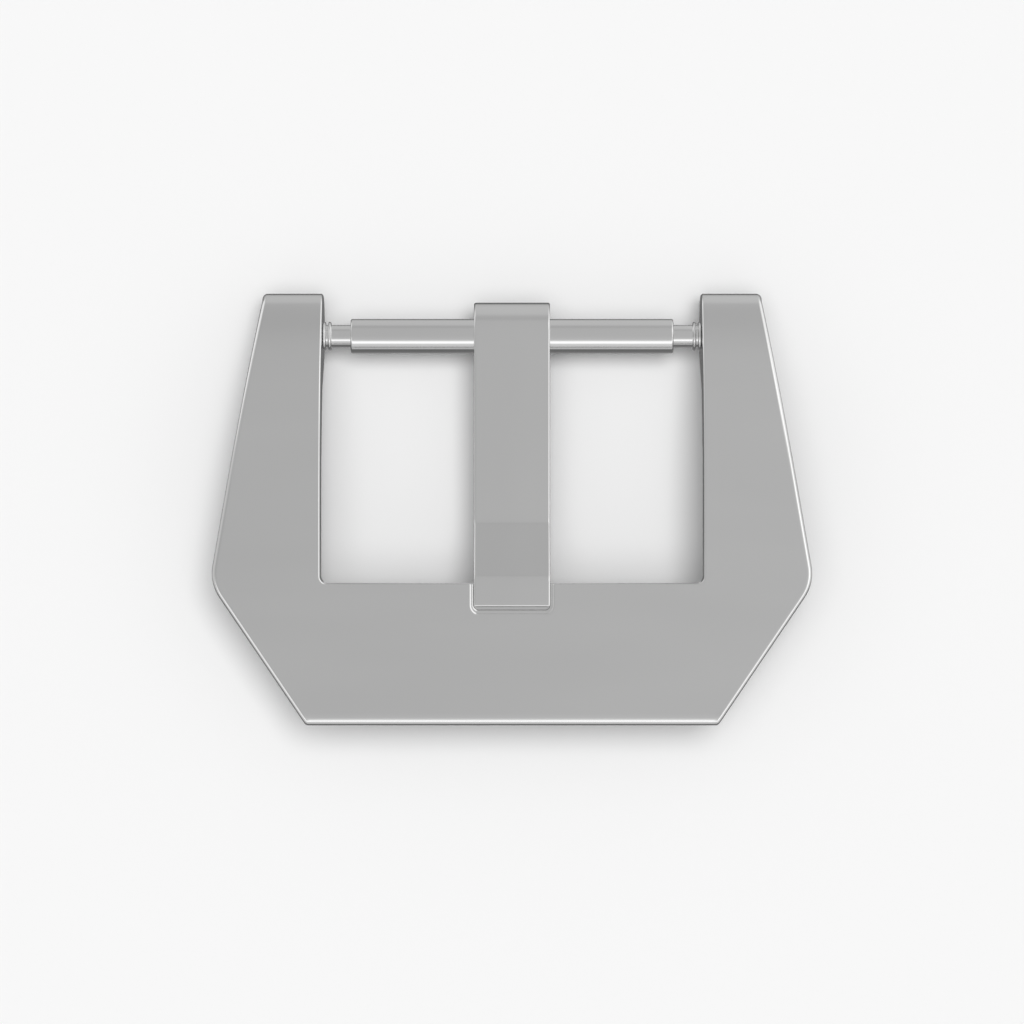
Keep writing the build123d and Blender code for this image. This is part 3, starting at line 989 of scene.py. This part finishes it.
def roomRamp(nodes, links, share, levels):
    # brightness by height: the angle from straight up becomes (cos + 1) / 2, lowest first
    ramp = nodes.new("ShaderNodeValToRGB")
    elements = ramp.color_ramp.elements
    for place, (angle, level) in enumerate(reversed(levels)):
        position = (np.cos(np.radians(angle)) + 1) / 2
        element = elements[place] if place < 2 else elements.new(position)  # a new ramp has two
        element.position = position
        element.color = (level, level, level, 1)
    links.new(share, ramp.inputs["Fac"])
    return ramp.outputs["Color"]


def roomColour(nodes, links, split):
    # the back's brightness by height, with each other side's mixed in as a direction turns to it in plan
    share = mapped(nodes, links, split.outputs["Z"], (-1, 1)).outputs["Result"]
    flat = nodes.new("ShaderNodeCombineXYZ")
    links.new(split.outputs["X"], flat.inputs["X"])
    links.new(split.outputs["Y"], flat.inputs["Y"])
    unit = nodes.new("ShaderNodeVectorMath")
    unit.operation = "NORMALIZE"
    links.new(flat.outputs["Vector"], unit.inputs[0])
    colour = roomRamp(nodes, links, share, room["back"])
    for side, (way, reach) in room["facing"].items():
        turned = nodes.new("ShaderNodeVectorMath")
        turned.operation = "DOT_PRODUCT"
        turned.inputs[1].default_value = (*way, 0)
        links.new(unit.outputs["Vector"], turned.inputs[0])
        amount = mapped(nodes, links, turned.outputs["Value"], reach)
        amount.interpolation_type = "SMOOTHSTEP"
        mix = nodes.new("ShaderNodeMix")
        mix.data_type = "RGBA"
        links.new(amount.outputs["Result"], mix.inputs["Factor"])
        links.new(colour, mix.inputs["A"])
        links.new(roomRamp(nodes, links, share, room[side]), mix.inputs["B"])
        colour = mix.outputs["Result"]
    return colour


def roomLight():
    # a plain studio room that only the steel shows: each side of it has its own brightness by height
    background = bpy.data.worlds.new("room")
    bpy.context.scene.world = background
    background.use_nodes = True
    background.cycles_visibility.diffuse = False
    nodes = background.node_tree.nodes
    links = background.node_tree.links
    where = nodes.new("ShaderNodeTexCoord")
    split = nodes.new("ShaderNodeSeparateXYZ")
    links.new(where.outputs["Generated"], split.inputs["Vector"])
    reach = room["acrossReach"]
    across = mapped(nodes, links, split.outputs["X"], (-reach, reach), room["acrossLevels"])
    path = nodes.new("ShaderNodeLightPath")
    direct = mapped(nodes, links, path.outputs["Diffuse Depth"], (0, 1), (1, room["floorShare"]))
    strength = nodes.new("ShaderNodeMath")
    strength.operation = "MULTIPLY"
    links.new(across.outputs["Result"], strength.inputs[0])
    links.new(direct.outputs["Result"], strength.inputs[1])
    links.new(strength.outputs["Value"], nodes["Background"].inputs["Strength"])
    links.new(roomColour(nodes, links, split), nodes["Background"].inputs["Color"])


def floorLamp(name, lamp):
    # a lamp shines down its own -Z, so its +Z is turned towards aim
    light = bpy.data.lights.new(name, "SUN")
    light.angle = np.radians(lamp["spread"])
    light.energy = lamp["power"]
    piece = bpy.data.objects.new(name, light)
    bpy.context.scene.collection.objects.link(piece)
    piece.rotation_euler = Vector(lamp["aim"]).to_track_quat("Z", "Y").to_euler()
    piece.visible_glossy = False


def photoCamera():
    # looks straight down, with +Y up in the picture
    data = bpy.data.cameras.new("camera")
    data.lens = stage["lens"]
    data.sensor_width = stage["sensor"]
    data.clip_start = stage["clipStart"] * mm
    data.clip_end = stage["clipEnd"] * mm
    camera = bpy.data.objects.new("camera", data)
    bpy.context.scene.collection.objects.link(camera)
    camera.location = (0, stage["cameraY"] * mm, (frameTop + stage["cameraAbove"]) * mm)
    bpy.context.scene.camera = camera


floorPiece()
roomLight()
for lampName, lamp in lamps.items():
    floorLamp(lampName + "Lamp", lamp)
photoCamera()
bpy.context.scene.view_settings.view_transform = "Standard"
print("stage done")
